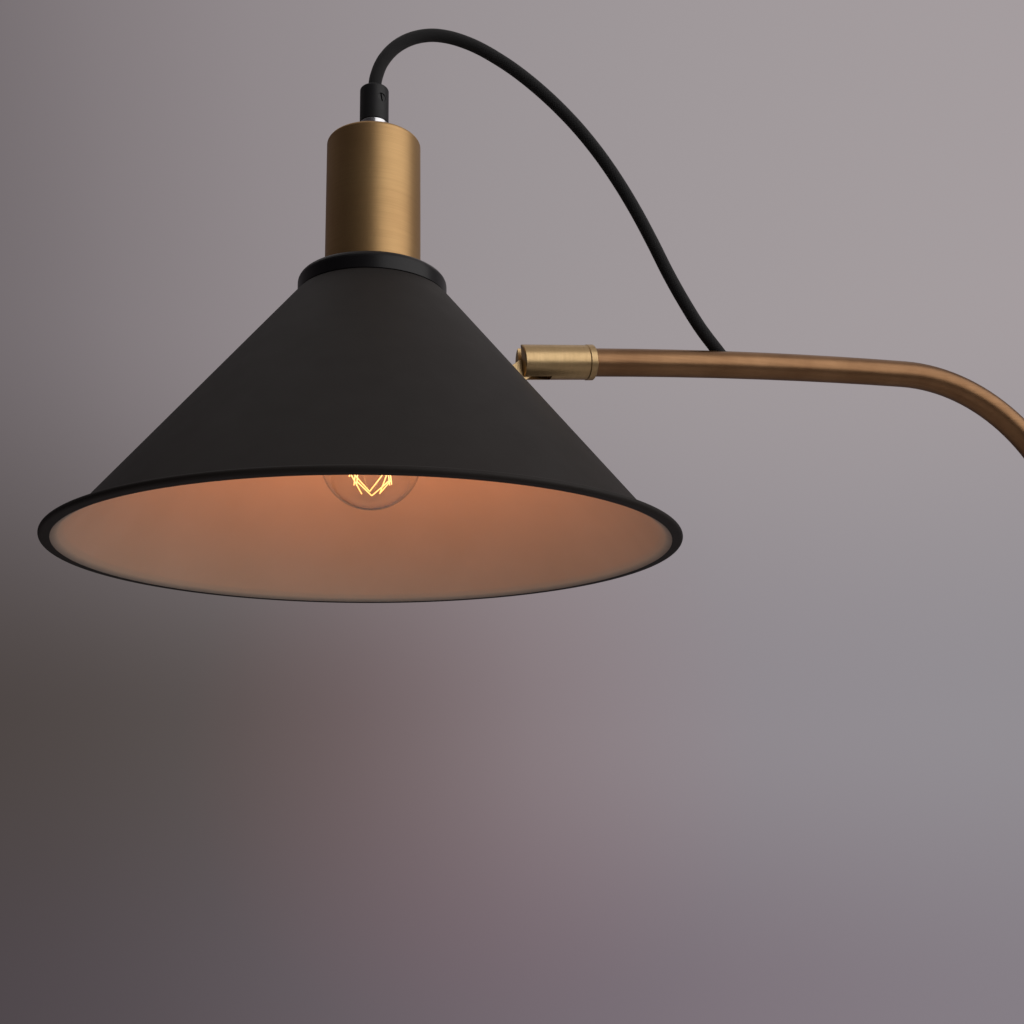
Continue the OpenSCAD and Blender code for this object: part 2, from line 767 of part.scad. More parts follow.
shade();
shade_collar();
lamp_cup();
grip_base();
cord_grip();
grip_screw();
nipple();
lamp_holder();
holder_cap();
holder_insert();
holder_contacts();
shade_ring();
holder_lead();
bulb_glass();
bulb_stem();
bulb_filament();
bulb_cap();
bulb_insulator();
bulb_tip();
knuckle_tongue();
tongue_washer();
tongue_nut();
knuckle_clevis();
friction_washers();
pivot_screw();
clevis_ring();
tube_plug();
arm_tube();
cable_bush();
shade_cord();
arm_cable();
post_cable();
upper_coupler();
upper_post();
lower_coupler();
lower_post();
post_boss();
post_stud();
stud_washer();
stud_nut();
base_cover();
base_weight();
base_screws();
base_pad();
cable_gland();
gland_nut();
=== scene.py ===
"""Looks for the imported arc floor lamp. Lengths are metres in the part's own frame, with +Z up."""

import math

import bmesh
import bpy
from mathutils import Matrix, Vector


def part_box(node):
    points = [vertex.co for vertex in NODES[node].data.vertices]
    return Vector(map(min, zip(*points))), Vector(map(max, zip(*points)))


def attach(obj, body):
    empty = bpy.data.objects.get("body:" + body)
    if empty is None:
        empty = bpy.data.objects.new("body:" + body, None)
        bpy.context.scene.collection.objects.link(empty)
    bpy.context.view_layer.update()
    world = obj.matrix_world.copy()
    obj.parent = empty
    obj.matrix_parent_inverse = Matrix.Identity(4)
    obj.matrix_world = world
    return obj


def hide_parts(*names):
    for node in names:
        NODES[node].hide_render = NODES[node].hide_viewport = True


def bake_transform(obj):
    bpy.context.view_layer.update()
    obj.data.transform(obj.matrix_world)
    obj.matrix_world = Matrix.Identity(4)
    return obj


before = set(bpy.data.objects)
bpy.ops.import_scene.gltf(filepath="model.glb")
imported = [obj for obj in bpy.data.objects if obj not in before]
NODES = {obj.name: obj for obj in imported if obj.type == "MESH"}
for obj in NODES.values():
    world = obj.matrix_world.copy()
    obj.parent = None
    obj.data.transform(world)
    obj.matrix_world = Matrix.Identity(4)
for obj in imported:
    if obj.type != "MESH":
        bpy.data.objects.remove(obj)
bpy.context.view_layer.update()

MM = 0.001

# Places that the scene takes from the frame.
SHADE_LOW, SHADE_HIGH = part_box("shade")
AXIS_X = (SHADE_LOW.x + SHADE_HIGH.x) / 2
RIM_Z = SHADE_LOW.z
BULB_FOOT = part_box("bulb_glass")[0].z

# The camera: where it stands, and how it looks up, to the right and tips.
CAMERA_AT = Vector((-0.55349, -0.59840, 1.12662))
CAMERA_YAW = math.radians(16.95)
CAMERA_PITCH = math.radians(13.45)
CAMERA_ROLL = math.radians(-1.09)
CAMERA_LENS = 41.95
SENSOR_W = 36
AHEAD = Vector((math.sin(CAMERA_YAW), math.cos(CAMERA_YAW), 0))
RIGHT = Vector((AHEAD.y, -AHEAD.x, 0))


# ---------------------------------------------------------------- meshes

def link(obj):
    """Puts obj in the scene and hands it back."""
    bpy.context.scene.collection.objects.link(obj)
    return obj


def mesh_object(name, verts, faces, sharp_over=35):
    """A smooth-shaded mesh, sharp where its faces meet at more than sharp_over degrees."""
    mesh = bpy.data.meshes.new(name)
    mesh.from_pydata([tuple(v) for v in verts], [], faces)
    bm = bmesh.new()
    bm.from_mesh(mesh)
    bmesh.ops.recalc_face_normals(bm, faces=bm.faces)
    bm.to_mesh(mesh)
    bm.free()
    for polygon in mesh.polygons:
        polygon.use_smooth = True
    mesh.set_sharp_from_angle(angle=math.radians(sharp_over))
    return link(bpy.data.objects.new(name, mesh))


def arc(r, z, radius, start, end, steps=8):
    """Points on an arc about (r, z), between two angles in degrees."""
    turn = [math.radians(start + (end - start) * i / steps) for i in range(steps + 1)]
    return [(r + radius * math.cos(a), z + radius * math.sin(a)) for a in turn]


def ease(before, corner, after, steps=5):
    """Points that round a corner, from before to after."""
    points = []
    for i in range(steps + 1):
        t = i / steps
        weights = ((1 - t) ** 2, 2 * t * (1 - t), t * t)
        points.append(tuple(sum(w * p[k] for w, p in zip(weights, (before, corner, after)))
                            for k in (0, 1)))
    return points


def lathe(name, outline, sides=192, sharp_over=35):
    """A closed outline of (r, z) in millimetres above the rim, turned about the shade's axis."""
    count = len(outline)
    verts = []
    for k in range(sides):
        a = 2 * math.pi * k / sides
        verts += [(AXIS_X + r * MM * math.cos(a), r * MM * math.sin(a), RIM_Z + z * MM) for r, z in outline]
    faces = []
    for k in range(sides):
        here, there = k * count, (k + 1) % sides * count
        for i in range(count):
            j = (i + 1) % count
            faces.append((here + i, there + i, there + j, here + j))
    return mesh_object(name, verts, faces, sharp_over)


def through(points, steps, closed=False):
    """A smooth curve through points, with that many steps between each two."""
    count = len(points)
    last = count if closed else count - 1
    at = (lambda i: points[i % count]) if closed else (lambda i: points[max(0, min(count - 1, i))])
    curve = []
    for i in range(last):
        p0, p1, p2, p3 = (Vector(at(i + k)) for k in (-1, 0, 1, 2))
        for k in range(steps):
            t = k / steps
            curve.append(0.5 * (2 * p1 + (p2 - p0) * t + (2 * p0 - 5 * p1 + 4 * p2 - p3) * t * t
                                + (3 * p1 - p0 - 3 * p2 + p3) * t ** 3))
    return curve if closed else curve + [Vector(points[-1])]


def tube(name, path, radius, sides, side_way, closed=False):
    """A round tube along path, with its UV map in turns round it and diameters along it."""
    count = len(path)
    verts, faces, along = [], [], [0.0]
    for i, p in enumerate(path):
        before = path[i - 1] if closed or i > 0 else p
        after = path[(i + 1) % count] if closed or i < count - 1 else p
        tangent = (after - before).normalized()
        across = side_way - tangent * side_way.dot(tangent)
        across.normalize()
        up = across.cross(tangent)
        for k in range(sides):
            a = 2 * math.pi * k / sides
            verts.append(p + radius * (math.cos(a) * up + math.sin(a) * across))
        if i:
            along.append(along[-1] + (p - path[i - 1]).length)
    runs = count if closed else count - 1
    for i in range(runs):
        for k in range(sides):
            a, b = i * sides + k, i * sides + (k + 1) % sides
            c, d = (i + 1) % count * sides + (k + 1) % sides, (i + 1) % count * sides + k
            faces.append((a, b, c, d))
    if not closed:
        faces += [tuple(range(sides)), tuple((count - 1) * sides + k for k in range(sides))]
    obj = mesh_object(name, verts, faces, sharp_over=60)
    uv = obj.data.uv_layers.new(name="Weave")
    for polygon in obj.data.polygons:
        seam = any(obj.data.loops[i].vertex_index % sides == sides - 1 for i in polygon.loop_indices)
        for i in polygon.loop_indices:
            ring, k = divmod(obj.data.loops[i].vertex_index, sides)
            turn = 1.0 if seam and k == 0 else k / sides
            uv.data[i].uv = (turn, along[ring] / (2 * radius))
    return obj


# ---------------------------------------------------------------- camera and cord

def make_camera():
    """The camera at the fitted place and angle."""
    data = bpy.data.cameras.new("Camera")
    data.lens = CAMERA_LENS
    data.sensor_width = SENSOR_W
    camera = link(bpy.data.objects.new("Camera", data))
    camera.matrix_world = (Matrix.Translation(CAMERA_AT) @ Matrix.Rotation(-CAMERA_YAW, 4, "Z")
                           @ Matrix.Rotation(math.pi / 2 + CAMERA_PITCH, 4, "X")
                           @ Matrix.Rotation(CAMERA_ROLL, 4, "Z"))
    bpy.context.scene.camera = camera


# The cord's thickness and route, as part.scad has them: (distance from the shade's axis, height above
# the rim), from the grip to the hole in the arm.
CORD_D = 0.0074
CORD_STEPS = 16
CORD_SIDES = 32
CORD_ROUTE = [
    (0, 0.2688), (0.0008, 0.2765), (0.0038, 0.2863), (0.009, 0.295), (0.0155, 0.3018), (0.0235, 0.307),
    (0.033, 0.3103), (0.043, 0.311), (0.053, 0.3096), (0.063, 0.3066), (0.074, 0.3016), (0.0852, 0.2953),
    (0.098, 0.2863), (0.111, 0.2754), (0.124, 0.2624), (0.1365, 0.2472), (0.148, 0.2304), (0.1583, 0.2128),
    (0.1675, 0.1948), (0.176, 0.177), (0.185, 0.1604), (0.195, 0.1442), (0.206, 0.129995),
    (0.208517, 0.126886)]


def make_cord():
    """The braided cord: one free arch from the grip to the hole in the arm."""
    path = through([(AXIS_X + s, 0, RIM_Z + z) for s, z in CORD_ROUTE], CORD_STEPS)
    cord = tube("cord_arch", path, CORD_D / 2, CORD_SIDES, Vector((0, 1, 0)))
    cord.data.materials.append(textile_cord())
    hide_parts("shade_cord")
    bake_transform(cord)
    return cord


# ---------------------------------------------------------------- materials

class Look:
    """A material under construction. Its patterns follow the object's own coordinates, in metres."""

    def __init__(self, name, colour, roughness, metallic=0.0, **sockets):
        self.material = bpy.data.materials.new(name)
        self.material.use_nodes = True
        self.tree = self.material.node_tree
        self.shader = self.tree.nodes["Principled BSDF"]
        self.set("Base Color", (*colour, 1))
        self.set("Roughness", roughness)
        self.set("Metallic", metallic)
        for socket, value in sockets.items():
            self.set(socket.replace("_", " "), value)

    def set(self, socket, value):
        self.shader.inputs[socket].default_value = value

    def add(self, kind, inputs=None, **settings):
        node = self.tree.nodes.new(kind)
        for name, value in settings.items():
            setattr(node, name, value)
        for name, value in (inputs or {}).items():
            self.feed(value, node.inputs[name])
        return node

    def feed(self, value, socket):
        if isinstance(value, bpy.types.NodeSocket):
            self.tree.links.new(value, socket)
        else:
            socket.default_value = value

    def place(self, stretch=(1, 1, 1)):
        """The object's coordinates, scaled by stretch."""
        coordinates = self.add("ShaderNodeTexCoord").outputs["Object"]
        if stretch == (1, 1, 1):
            return coordinates
        return self.add("ShaderNodeMapping", {"Vector": coordinates, "Scale": stretch}).outputs["Vector"]

    def noise(self, per_metre, stretch=(1, 1, 1), detail=3.0, rough=0.5):
        return self.add("ShaderNodeTexNoise", {
            "Vector": self.place(stretch), "Scale": per_metre, "Detail": detail, "Roughness": rough,
        }).outputs["Fac"]

    def remap(self, value, low, high, to_low=0.0, to_high=1.0):
        return self.add("ShaderNodeMapRange", {
            "Value": value, "From Min": low, "From Max": high, "To Min": to_low, "To Max": to_high,
        }).outputs["Result"]

    def math(self, operation, a, b=0.0):
        return self.add("ShaderNodeMath", {0: a, 1: b}, operation=operation).outputs["Value"]

    def vector(self, operation, a, b=None):
        inputs = {0: a} if b is None else {0: a, 1: b}
        return self.add("ShaderNodeVectorMath", inputs, operation=operation)

    def blend(self, factor, first, second):
        """The colour first, going over to second as factor goes to 1."""
        colours = [(*c, 1) if isinstance(c, tuple) else c for c in (first, second)]
        mixed = self.add("ShaderNodeMix", {0: factor, 6: colours[0], 7: colours[1]}, data_type="RGBA")
        return mixed.outputs[2]

    def colour(self, socket):
        self.feed(socket, self.shader.inputs["Base Color"])

    def roughness(self, pattern, low, high):
        self.feed(self.remap(pattern, 0.3, 0.7, low, high), self.shader.inputs["Roughness"])

    def bump(self, height, depth, strength=1.0, edge=0.0):
        """Relief depth metres deep. With edge, corners catch the light as if rounded by that radius."""
        inputs = {"Height": height, "Distance": depth, "Strength": strength}
        if edge:
            inputs["Normal"] = self.add("ShaderNodeBevel", {"Radius": edge}, samples=4).outputs["Normal"]
        self.feed(self.add("ShaderNodeBump", inputs).outputs["Normal"], self.shader.inputs["Normal"])


def painted(name, colour, tint, roughness, peel=0.00004):
    """Sprayed paint: a slight drift of colour, fine orange peel, and a little dust."""
    look = Look(name, colour, roughness, Specular_IOR_Level=0.36)
    drift = look.remap(look.noise(9, detail=2), 0.35, 0.65)
    base = look.blend(drift, colour, tint)
    dust = look.remap(look.noise(520, detail=6, rough=0.7), 0.66, 0.86, 0.0, 0.08)
    look.colour(look.blend(dust, base, (0.16, 0.15, 0.14)))
    look.roughness(look.noise(60), roughness - 0.01, roughness + 0.03)
    look.bump(look.noise(900, detail=2), peel, 0.5, edge=0.0004)
    return look.material


def brass(name, colour, tint, roughness, grain, patches=26, spots=0.3, edge=0.0003):
    """Satin brass, its fine polishing lines stretched by grain, with tint where the lacquer has darkened."""
    look = Look(name, colour, roughness, metallic=1.0)
    patch = look.remap(look.noise(patches, detail=4, rough=0.6), 0.38, 0.66)
    base = look.blend(patch, colour, tint)
    speck = look.remap(look.noise(700, detail=5, rough=0.75), 0.64, 0.8, 0.0, spots)
    base = look.blend(speck, base, tuple(c * 0.35 for c in tint))
    lines = look.noise(1.0, stretch=grain, detail=4, rough=0.65)
    worn = look.remap(lines, 0.3, 0.7, 0.0, 0.22)
    look.colour(look.blend(worn, base, tuple(c * 0.6 for c in colour)))
    look.roughness(lines, roughness - 0.05, roughness + 0.07)
    look.bump(lines, 0.00002, 0.35, edge=edge)
    return look.material


def plated(name, colour, roughness, grain=(600, 600, 600)):
    """Zinc or chrome plate, with faint handling marks."""
    look = Look(name, colour, roughness, metallic=1.0)
    marks = look.noise(1.0, stretch=grain, detail=5, rough=0.7)
    touched = look.remap(marks, 0.45, 0.75, 0.0, 0.4)
    look.colour(look.blend(touched, colour, tuple(c * 0.6 for c in colour)))
    look.roughness(marks, roughness * 0.8, roughness * 1.4)
    look.bump(marks, 0.00001, 0.3, edge=0.0002)
    return look.material


def moulded(name, colour, roughness, flecks=0.1, fleck_colour=(0.09, 0.085, 0.08), texture=700):
    """A moulded plastic or fired piece, with a faint texture and flecks."""
    look = Look(name, colour, roughness)
    fleck = look.remap(look.noise(texture, detail=5, rough=0.7), 0.6, 0.85, 0.0, flecks)
    look.colour(look.blend(fleck, colour, fleck_colour))
    look.roughness(look.noise(90), roughness - 0.05, roughness + 0.08)
    look.bump(look.noise(texture * 2, detail=2), 0.00003, 0.4, edge=0.0003)
    return look.material


def inner_paint():
    """The shade's white inside: an even sprayed coat, greyed towards the lip by painted shade where the
    bulb's light does not reach.
    """
    look = Look("shade_white", (0.74, 0.68, 0.59), 0.5)
    away = look.vector("SUBTRACT", look.place(), (AXIS_X, 0, RIM_Z)).outputs["Vector"]
    flat = look.vector("MULTIPLY", away, (1, 1, 0)).outputs["Vector"]
    radius = look.vector("LENGTH", flat).outputs["Value"]
    ragged = look.math("ADD", radius, look.math("MULTIPLY", look.noise(160, detail=4), 0.0008))
    # Painted shade: the coat greys towards the lip, where the bulb's light does not reach.
    lip_painted_shade = look.remap(ragged, 0.1515, 0.1554)
    cloud = look.remap(look.noise(18, detail=3), 0.35, 0.65)
    coat = look.blend(cloud, (0.76, 0.69, 0.56), (0.71, 0.64, 0.51))
    look.colour(look.blend(look.math("MULTIPLY", lip_painted_shade, 0.8), coat, (0.20, 0.19, 0.19)))
    look.roughness(look.noise(70), 0.42, 0.58)
    look.bump(look.noise(800, detail=2), 0.00005, 0.5)
    return look.material


def textile_cord():
    """A black braid of two crossing sets of yarns, with the fuzz of a woven surface, and painted shade in
    the hollows between the yarns.
    """
    carriers = 16
    look = Look("textile_cord", (0.008, 0.008, 0.009), 0.82, Sheen_Weight=0.12, Sheen_Roughness=0.5)
    uv = look.add("ShaderNodeUVMap", uv_map="Weave").outputs["UV"]
    split = look.add("ShaderNodeSeparateXYZ", {"Vector": uv})
    turns = look.math("MULTIPLY", split.outputs["X"], carriers)
    steps = look.math("MULTIPLY", split.outputs["Y"], carriers / math.pi)
    yarns = []
    for way in ("ADD", "SUBTRACT"):
        phase = look.math("MULTIPLY", look.math(way, turns, steps), math.pi)
        yarns.append(look.math("ABSOLUTE", look.math("SINE", phase)))
    weave = look.math("MAXIMUM", *yarns)
    fibre = look.noise(2600, detail=4, rough=0.7)
    height = look.math("ADD", weave, look.math("MULTIPLY", fibre, 0.5))
    # Painted shade: darker in the hollows between the yarns, lighter on their crowns.
    weave_painted_shade = look.remap(height, 0.75, 1.35)
    look.colour(look.blend(weave_painted_shade, (0.003, 0.003, 0.0035), (0.015, 0.0145, 0.016)))
    look.roughness(fibre, 0.74, 0.92)
    look.bump(height, 0.00035, 0.8)
    return look.material


def clear_glass(name="clear_glass", tint=(0.97, 0.97, 0.95)):
    """Blown glass: hardly wavy, with a trace of dust."""
    look = Look(name, tint, 0.01, Transmission_Weight=1.0, IOR=1.47)
    look.bump(look.noise(35, detail=1), 0.0003, 0.25)
    dust = look.remap(look.noise(40, detail=5), 0.5, 0.8, 0.0, 0.25)
    look.colour(look.blend(dust, tint, (0.86, 0.85, 0.82)))
    return look.material


def glowing_wire():
    """The lit filament: hottest in the middle of each leg, redder towards its hooks."""
    look = Look("filament_wire", (0.05, 0.03, 0.02), 0.6)
    height = look.add("ShaderNodeSeparateXYZ", {"Vector": look.place()}).outputs["Z"]
    heat = look.remap(height, BULB_FOOT + 0.008, BULB_FOOT + 0.022)
    hot = look.blend(heat, (1.0, 0.44, 0.12), (1.0, 0.56, 0.20))
    look.feed(hot, look.shader.inputs["Emission Color"])
    look.set("Emission Strength", 2.8)
    look.material.cycles.emission_sampling = "NONE"
    return look.material


def cast_iron():
    """The weight in the base: bare cast iron with a sandy skin."""
    look = Look("base_iron", (0.05, 0.05, 0.052), 0.6, metallic=0.6)
    grain = look.noise(260, detail=6, rough=0.7)
    look.colour(look.blend(look.remap(grain, 0.4, 0.7), (0.035, 0.034, 0.036), (0.085, 0.08, 0.078)))
    look.roughness(grain, 0.5, 0.8)
    look.bump(grain, 0.0004, 0.6, edge=0.0006)
    return look.material


def felt_pad():
    """The soft pad under the base, and the friction washers: dark and fibrous."""
    look = Look("pad_rubber", (0.03, 0.028, 0.028), 0.95)
    fibre = look.noise(1500, stretch=(1, 0.4, 1), detail=6, rough=0.8)
    look.colour(look.blend(look.remap(fibre, 0.35, 0.7), (0.018, 0.017, 0.017), (0.06, 0.056, 0.055)))
    look.roughness(fibre, 0.88, 1.0)
    look.bump(fibre, 0.0004, 0.7)
    return look.material


def cable_sheath():
    """The smooth sheath of the cable inside the tubes, a little scuffed."""
    look = Look("cable_sheath", (0.02, 0.018, 0.017), 0.5)
    scuff = look.noise(300, detail=5, rough=0.7)
    scuffed = look.remap(scuff, 0.5, 0.8, 0.0, 0.6)
    look.colour(look.blend(scuffed, (0.018, 0.016, 0.015), (0.06, 0.055, 0.05)))
    look.roughness(scuff, 0.42, 0.62)
    look.bump(scuff, 0.00005, 0.5)
    return look.material


# ---------------------------------------------------------------- pieces

def finish_node(material, *names):
    """Gives CAD nodes their material."""
    for name in names:
        mesh = NODES[name].data
        mesh.materials.clear()
        mesh.materials.append(material)


def stand_in(obj, node, slot, *materials):
    """obj stands for a CAD node of the head and rides with it."""
    for material in materials:
        obj.data.materials.append(material)
    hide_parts(node)
    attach(obj, "head")
    return obj


def make_shade(outside):
    """The spun cone with its flared, beaded lip, black outside and white inside. Lengths in millimetres."""
    top, hole, neck, foot = 141.4, 20.6, 40.2, 153.2
    slope = (foot - neck) / top
    sheet, flange, lip = 1.0, 3.2, 160.0
    bead = flange / 2
    flat_out, flat_in, dark_in = 157.0, 155.6, 154.6
    wall = sheet * math.sqrt(1 + slope * slope)
    under = flange - sheet
    round_top, round_foot = 1.5, 2.5

    def cone(z):
        return foot - slope * z

    outer = [(hole, top), (neck - round_top, top)]
    outer += ease((neck - round_top, top), (neck, top), (cone(top - round_top), top - round_top), 3)[1:]
    outer += ease((cone(flange + round_foot), flange + round_foot), (cone(flange), flange),
                  (cone(flange) + round_foot, flange))
    outer += arc(lip - bead, bead, bead, 90, -90, 16)
    outer += [(flat_out, 0), (flat_in, 0), (dark_in + 0.2, 0.05), (dark_in, 0.15)]
    foot_in = cone(under) - wall
    inner = [(dark_in - 0.1, 0.2), (dark_in - 0.8, 0.6)]
    inner += ease((foot_in + 2.4, under - 1.0), (foot_in + 0.6, under),
                  (cone(under + round_foot) - wall, under + round_foot))
    inner += [(cone(top - sheet) - wall, top - sheet), (hole, top - sheet)]
    shade = lathe("shade_shell", outer + inner, sides=256, sharp_over=50)
    stand_in(shade, "shade", "shade_paint", outside, inner_paint())
    count = len(outer + inner)
    for i, polygon in enumerate(shade.data.polygons):
        polygon.material_index = int(len(outer) - 1 <= i % count < count - 1)
    return shade


def bulb_outline(inset):
    """The bulb's outline from its foot: a round end and a straight taper to the neck, drawn in by inset."""
    radius, centre, neck_r, neck_z = 26.7, 50.5, 12.4, 129.0
    rise = neck_z - centre
    touch = math.degrees(math.atan2(rise, neck_r) - math.acos(radius / math.hypot(neck_r, rise)))
    return arc(0, centre, radius - inset, -90, touch, 40) + [(neck_r - inset, neck_z)]


def make_bulb():
    """The lit bulb: its envelope and its cage of wire. Lengths in millimetres."""
    glass, pole = 0.8, 0.02
    outline = bulb_outline(0) + bulb_outline(glass)[::-1]
    outline[0] = (pole, outline[0][1])
    outline[-1] = (pole, outline[-1][1])
    envelope = lathe("bulb_envelope", outline, sides=128)
    stand_in(envelope, "bulb_glass", "clear_glass", clear_glass())
    envelope.visible_shadow = False

    hooks, hook_r, hook_z = 4, 4.7, 32.2
    shoulder_r, shoulder_z = 13.0, 41.5
    top_r, top_z = 6.0, 89.0
    wire_r, bend, tuck = 0.3, 0.0012, 0.0003
    first = math.atan2(AHEAD.y, AHEAD.x)
    corners = []
    for i in range(hooks):
        for part, r, z in ((0, hook_r, hook_z), (0.46, shoulder_r, shoulder_z), (0.5, top_r, top_z),
                           (0.54, shoulder_r, shoulder_z)):
            a = first + 2 * math.pi / hooks * (i + part)
            corners.append(Vector((AXIS_X + r * MM * math.cos(a), r * MM * math.sin(a), RIM_Z + z * MM)))
    points = []
    for i, corner in enumerate(corners):
        before, after = corners[i - 1] - corner, corners[(i + 1) % len(corners)] - corner
        points += [corner + bend * before.normalized(), corner + tuck * (before + after).normalized(),
                   corner + bend * after.normalized()]
    side_way = Vector((0.3, 0.2, 1))
    wire = tube("bulb_wire", through(points, 5, closed=True), wire_r * MM, 8, side_way, closed=True)
    stand_in(wire, "bulb_filament", "filament_wire", glowing_wire())
    wire.visible_diffuse = False
    wire.visible_shadow = False


def make_floor():
    """A pale floor that fades out into the backdrop."""
    look = Look("floor", (0.68, 0.66, 0.65), 0.75)
    cloud = look.remap(look.noise(2.5, detail=4), 0.35, 0.65)
    look.colour(look.blend(cloud, (0.70, 0.68, 0.67), (0.66, 0.64, 0.63)))
    look.roughness(look.noise(14), 0.68, 0.82)
    radius, sides, depth = 4.8, 96, -0.0003
    fade_from, fade_to = 1.6, 4.6
    away = look.vector("LENGTH", look.place()).outputs["Value"]
    look.feed(look.remap(away, fade_from, fade_to, 1.0, 0.0), look.shader.inputs["Alpha"])
    rim = [(radius * math.cos(2 * math.pi * k / sides), radius * math.sin(2 * math.pi * k / sides), depth)
           for k in range(sides)]
    floor = mesh_object("floor", rim, [tuple(range(sides))])
    floor.data.materials.append(look.material)


# ---------------------------------------------------------------- light

def area_light(name, at, towards, size, power, colour, spread=180):
    """A rectangular light that the camera doesn't see."""
    data = bpy.data.lights.new(name, "AREA")
    data.shape = "RECTANGLE"
    data.size, data.size_y = size
    data.energy = power
    data.color = colour
    data.spread = math.radians(spread)
    light = link(bpy.data.objects.new(name, data))
    light.location = at
    light.rotation_mode = "QUATERNION"
    light.rotation_quaternion = (Vector(towards) - Vector(at)).to_track_quat("-Z", "Y")
    light.visible_camera = False
    return light


def make_lights():
    """A wide soft window at the right, a faint ceiling, and the bulb's own light."""
    head = Vector((AXIS_X, 0, RIM_Z + 0.15))
    window = head + 2.2 * Vector((0.62, -0.70, 0.30))
    area_light("window", window, head, (3.4, 2.4), 21, (1.0, 0.97, 0.95), 150)
    area_light("ceiling", (-0.2, 0.1, 3.1), (-0.2, 0, 0), (3.0, 3.0), 8, (1.0, 0.95, 0.93))
    data = bpy.data.lights.new("bulb_light", "POINT")
    data.energy = 0.215
    data.color = (1.0, 0.27, 0.075)
    data.shadow_soft_size = 0.012
    bulb = link(bpy.data.objects.new("bulb_light", data))
    bulb.location = (AXIS_X, 0, RIM_Z + 0.055)
    bulb.visible_camera = False
    bulb.visible_glossy = False
    bulb.visible_transmission = False
    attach(bulb, "head")


def make_world():
    """A grey backdrop with painted light and shade, darker at the left and below, and a dim room behind the
    camera.
    """
    world = bpy.data.worlds.new("World")
    bpy.context.scene.world = world
    world.use_nodes = True
    tree = world.node_tree
    nodes, links = tree.nodes, tree.links
    out = nodes["World Output"]
    backdrop = nodes["Background"]
    way = nodes.new("ShaderNodeTexCoord").outputs["Generated"]

    def along(vector):
        node = nodes.new("ShaderNodeVectorMath")
        node.operation = "DOT_PRODUCT"
        links.new(way, node.inputs[0])
        node.inputs[1].default_value = vector
        return node.outputs["Value"]

    def step(value, low, high, smooth=True):
        scaled = nodes.new("ShaderNodeMapRange")
        links.new(value, scaled.inputs["Value"])
        scaled.inputs["From Min"].default_value = low
        scaled.inputs["From Max"].default_value = high
        scaled.interpolation_type = "SMOOTHSTEP" if smooth else "LINEAR"
        return scaled.outputs["Result"]

    def ramp(value, low, high, stops):
        node = nodes.new("ShaderNodeValToRGB")
        links.new(step(value, low, high, False), node.inputs["Fac"])
        node.color_ramp.interpolation = "B_SPLINE"
        elements = node.color_ramp.elements
        for i, (at, colour) in enumerate(stops):
            element = elements[i] if i < 2 else elements.new(at)
            element.position = at
            element.color = (*colour, 1)
        return node.outputs["Color"]

    def mix(kind, first, second, share=None):
        node = nodes.new("ShaderNodeMix")
        node.data_type = "RGBA"
        node.blend_type = kind
        node.inputs[0].default_value = 1
        if share:
            links.new(share, node.inputs[0])
        links.new(first, node.inputs[6])
        links.new(second, node.inputs[7])
        return node.outputs[2]

    # The backdrop's tones are painted light and shade: lighter at the right and top, where the window's
    # light falls, darker at the left and below.
    across, height = along(RIGHT), along((0, 0, 1))
    top = ramp(across, -0.4, 0.4, [
        (0.0, (0.158, 0.142, 0.150)), (1.0, (0.376, 0.342, 0.352)), (0.12, (0.222, 0.200, 0.209)),
        (0.26, (0.276, 0.249, 0.260)), (0.46, (0.318, 0.292, 0.302)), (0.70, (0.349, 0.320, 0.330))])
    middle = ramp(across, -0.4, 0.4, [
        (0.0, (0.064, 0.056, 0.053)), (1.0, (0.287, 0.275, 0.296)), (0.22, (0.102, 0.090, 0.087)),
        (0.36, (0.140, 0.122, 0.126)), (0.52, (0.222, 0.200, 0.212)), (0.72, (0.276, 0.255, 0.279))])
    low = ramp(across, -0.4, 0.4, [
        (0.0, (0.064, 0.056, 0.062)), (1.0, (0.238, 0.220, 0.246)), (0.24, (0.106, 0.093, 0.102)),
        (0.48, (0.163, 0.137, 0.158)), (0.72, (0.208, 0.178, 0.204))])
    low_at, middle_at, top_at = -0.156, 0.062, 0.385
    lower = mix("MIX", low, middle, step(height, low_at, middle_at))
    shown = mix("MIX", lower, top, step(height, middle_at, top_at))
    # A faint red pool of painted light low in the middle: the bulb's glow on the wall below the shade.
    painted_glow_way = (AHEAD * 0.996 - RIGHT * 0.035 + Vector((0, 0, 0.05))).normalized()
    painted_bulb_glow = ramp(along(painted_glow_way), 0.972, 1.0, [(0.0, (0, 0, 0)), (1.0, (0.030, 0.0, 0.0))])
    shown = mix("ADD", shown, painted_bulb_glow)
    links.new(shown, backdrop.inputs["Color"])
    backdrop.inputs["Strength"].default_value = 1.0

    # What lights the lamp: the same picture, dimmed behind the camera and below.
    room = nodes.new("ShaderNodeBackground")
    floor_dark = ramp(height, -0.7, 0.1, [(0.0, (0.25, 0.25, 0.25)), (1.0, (1, 1, 1))])
    around = ramp(along(AHEAD), -0.5, 0.9, [(0.0, (0.07, 0.07, 0.07)), (1.0, (0.8, 0.8, 0.8))])
    links.new(mix("MULTIPLY", mix("MULTIPLY", shown, around), floor_dark), room.inputs["Color"])
    seen = nodes.new("ShaderNodeLightPath").outputs["Is Camera Ray"]
    both = nodes.new("ShaderNodeMixShader")
    links.new(seen, both.inputs["Fac"])
    links.new(room.outputs["Background"], both.inputs[1])
    links.new(backdrop.outputs["Background"], both.inputs[2])
    links.new(both.outputs["Shader"], out.inputs["Surface"])


# ---------------------------------------------------------------- the scene

make_camera()
make_cord()

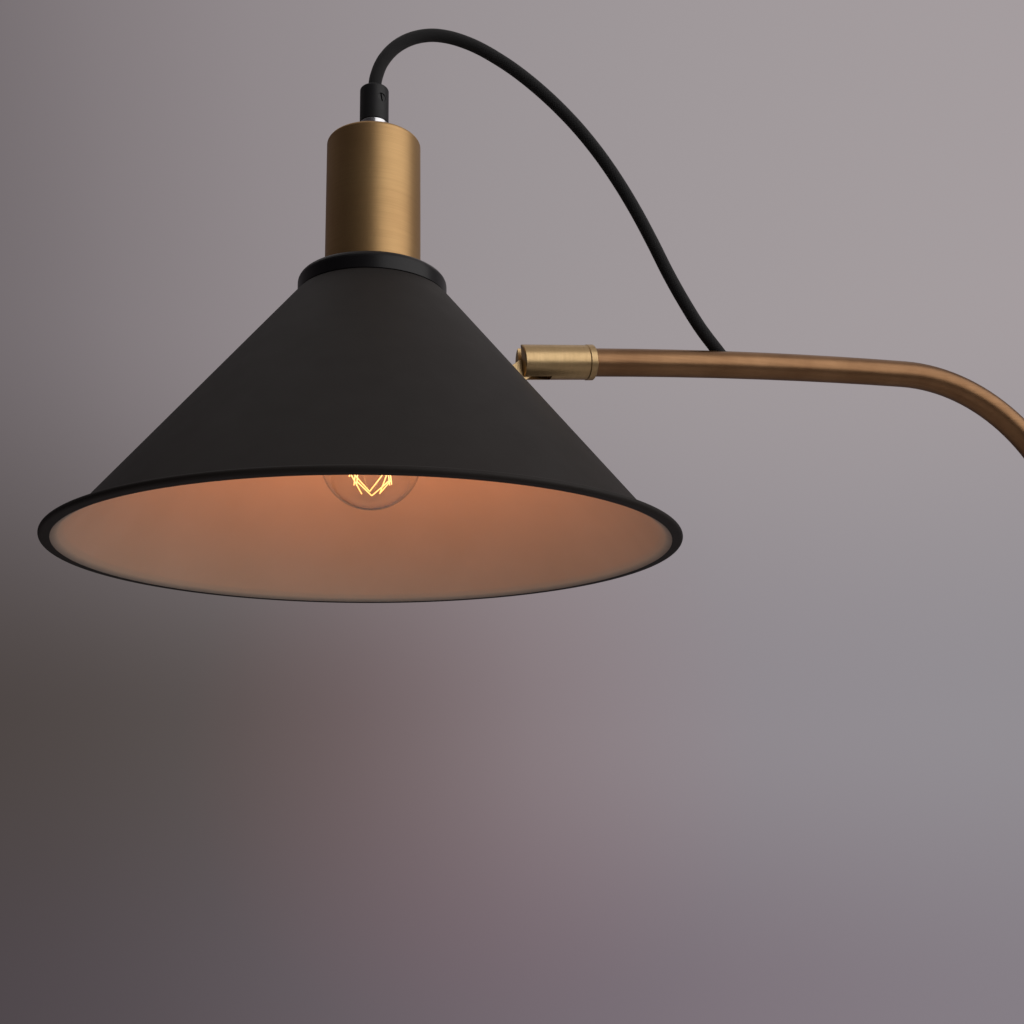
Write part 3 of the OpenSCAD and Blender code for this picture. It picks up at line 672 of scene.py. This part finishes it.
SHADE_BLACK = painted("shade_paint", (0.0170, 0.0138, 0.0118), (0.0190, 0.0145, 0.0125), 0.60)
COLLAR_BLACK = painted("collar_paint", (0.0080, 0.0078, 0.0095), (0.0090, 0.0085, 0.0100), 0.32)
BASE_BLACK = painted("base_paint", (0.0120, 0.0115, 0.0110), (0.0150, 0.0135, 0.0125), 0.45)
TUBE_BRASS = brass("tube_brass", (0.38, 0.215, 0.11), (0.28, 0.150, 0.075), 0.36, (30, 900, 900),
                   spots=0.35)
KNUCKLE_BRASS = brass("knuckle_brass", (0.74, 0.53, 0.28), (0.62, 0.43, 0.22), 0.34, (900, 120, 120),
                      50, 0.15)
CUP_BRASS = brass("cup_brass", (0.64, 0.41, 0.19), (0.57, 0.35, 0.16), 0.44, (25, 25, 2600), 14, 0.10)
CONTACT_BRASS = brass("contact_brass", (0.70, 0.50, 0.26), (0.50, 0.34, 0.17), 0.28, (300, 300, 900), 90)
STEEL = plated("steel", (0.60, 0.61, 0.63), 0.30)
CHROME = plated("bright_chrome", (0.86, 0.87, 0.90), 0.20, (60, 60, 1500))
BLACK_PLASTIC = moulded("black_plastic", (0.008, 0.008, 0.010), 0.50)
BAKELITE = moulded("bakelite", (0.022, 0.016, 0.013), 0.32, 0.25, (0.07, 0.045, 0.03), 420)
PORCELAIN = moulded("porcelain", (0.74, 0.71, 0.65), 0.22, 0.2, (0.55, 0.50, 0.43), 300)
SHEATH = cable_sheath()

make_shade(SHADE_BLACK)
make_bulb()
finish_node(COLLAR_BLACK, "shade_collar")
finish_node(BASE_BLACK, "base_cover")
finish_node(CUP_BRASS, "lamp_cup")
finish_node(TUBE_BRASS, "arm_tube", "upper_post", "lower_post", "post_boss")
finish_node(KNUCKLE_BRASS, "knuckle_clevis", "clevis_ring", "knuckle_tongue", "pivot_screw",
            "upper_coupler", "lower_coupler")
finish_node(CONTACT_BRASS, "bulb_cap", "holder_contacts", "tube_plug")
finish_node(STEEL, "nipple", "tongue_washer", "tongue_nut", "post_stud", "stud_washer", "stud_nut",
            "base_screws", "bulb_tip")
finish_node(CHROME, "grip_base")
finish_node(BLACK_PLASTIC, "cord_grip", "grip_screw", "cable_bush", "cable_gland", "gland_nut",
            "bulb_insulator")
finish_node(BAKELITE, "lamp_holder", "holder_cap", "shade_ring")
finish_node(PORCELAIN, "holder_insert")
finish_node(clear_glass("stem_glass"), "bulb_stem")
finish_node(SHEATH, "arm_cable", "post_cable", "holder_lead")
finish_node(cast_iron(), "base_weight")
finish_node(felt_pad(), "base_pad", "friction_washers")

make_floor()
make_lights()
make_world()
bpy.context.scene.view_settings.view_transform = "Standard"
